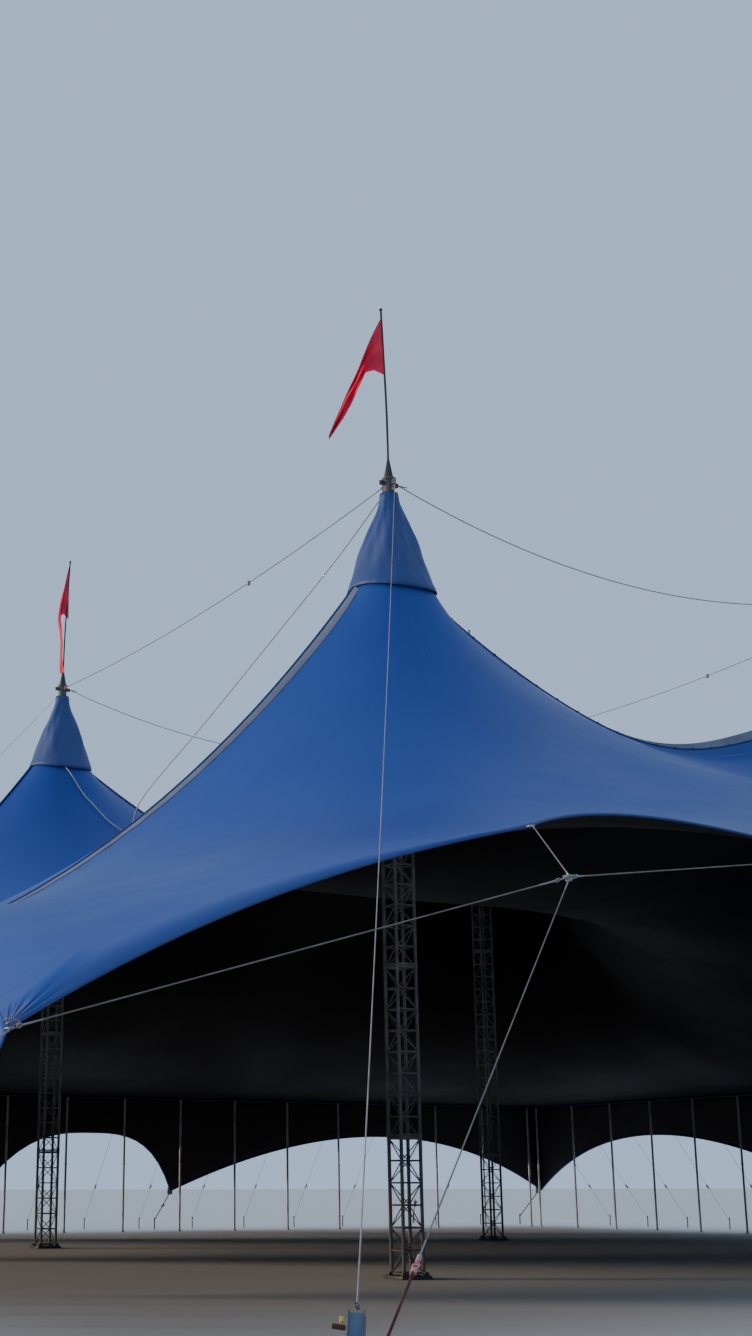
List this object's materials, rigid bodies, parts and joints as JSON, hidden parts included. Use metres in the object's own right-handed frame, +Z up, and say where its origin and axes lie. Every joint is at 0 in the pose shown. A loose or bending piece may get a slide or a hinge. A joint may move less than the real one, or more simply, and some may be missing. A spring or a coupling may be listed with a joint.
{
  "type": "big top tent, 1:2 scale model",
  "caption": "Large tensile tent at half scale: a blue membrane roof hung from lattice masts with fabric cones, scalloped skirts on side poles and guys, and a wide open front arch.",
  "frame": {"origin": "on the ground, at the centre of the footprint, midway between the masts", "axes": "+Z up; the open front arch faces -Y; +Y runs to the back, along the longest extent; X runs across the front"},
  "size_m": [23.435, 28.835, 9.3],
  "materials": {
    "membrane": "coated fabric, blue outside and dark inside",
    "cap_fabric": "coated fabric, greyer blue",
    "pennant_fabric": "thin crimson cloth",
    "rope": "laid rope, off-white",
    "galvanised_steel": "galvanised, matt",
    "steel_wire": "stranded wire and fittings, matt"
  },
  "bodies": {
    "root": {"roof_front_left": "membrane", "roof_front_right": "membrane", "roof_middle_left": "membrane", "roof_middle_right": "membrane", "roof_back_left": "membrane", "roof_back_right": "membrane", "skirt_back_left": "membrane", "skirt_back_middle": "membrane", "skirt_back_right": "membrane", "skirt_left": "membrane", "skirt_right": "membrane", "edge_cable_back_left": "steel_wire", "edge_cable_back_middle": "steel_wire", "edge_cable_back_right": "steel_wire", "edge_cable_left": "steel_wire", "edge_cable_right": "steel_wire", "edge_cable_front": "steel_wire", "front_rigging_left": "steel_wire", "front_rigging_right": "steel_wire", "poles_back_left": "galvanised_steel", "poles_back_right": "galvanised_steel", "poles_left_rear": "galvanised_steel", "poles_left_fore": "galvanised_steel", "poles_right_rear": "galvanised_steel", "poles_right_fore": "galvanised_steel", "guys_back_left": "steel_wire", "guys_back_right": "steel_wire", "guys_left_rear": "steel_wire", "guys_left_fore": "steel_wire", "guys_right_rear": "steel_wire", "guys_right_fore": "steel_wire", "mast_front_left": "galvanised_steel", "mast_front_right": "galvanised_steel", "mast_back_left": "galvanised_steel", "mast_back_right": "galvanised_steel", "mast_head_front_left": "galvanised_steel", "mast_head_front_right": "galvanised_steel", "mast_head_back_left": "galvanised_steel", "mast_head_back_right": "galvanised_steel", "cap_front_left": "cap_fabric", "cap_front_right": "cap_fabric", "cap_back_left": "cap_fabric", "cap_back_right": "cap_fabric", "pennant_front_left": "pennant_fabric", "pennant_front_right": "pennant_fabric", "pennant_back_left": "pennant_fabric", "pennant_back_right": "pennant_fabric", "mast_guy_front_left": "steel_wire", "mast_guy_front_right": "steel_wire", "mast_guy_back_left": "steel_wire", "mast_guy_back_right": "steel_wire", "mast_cable_front": "steel_wire", "mast_cable_back": "steel_wire", "mast_cable_left": "steel_wire", "mast_cable_right": "steel_wire", "slack_rope": "rope"}
  },
  "joints": []
}
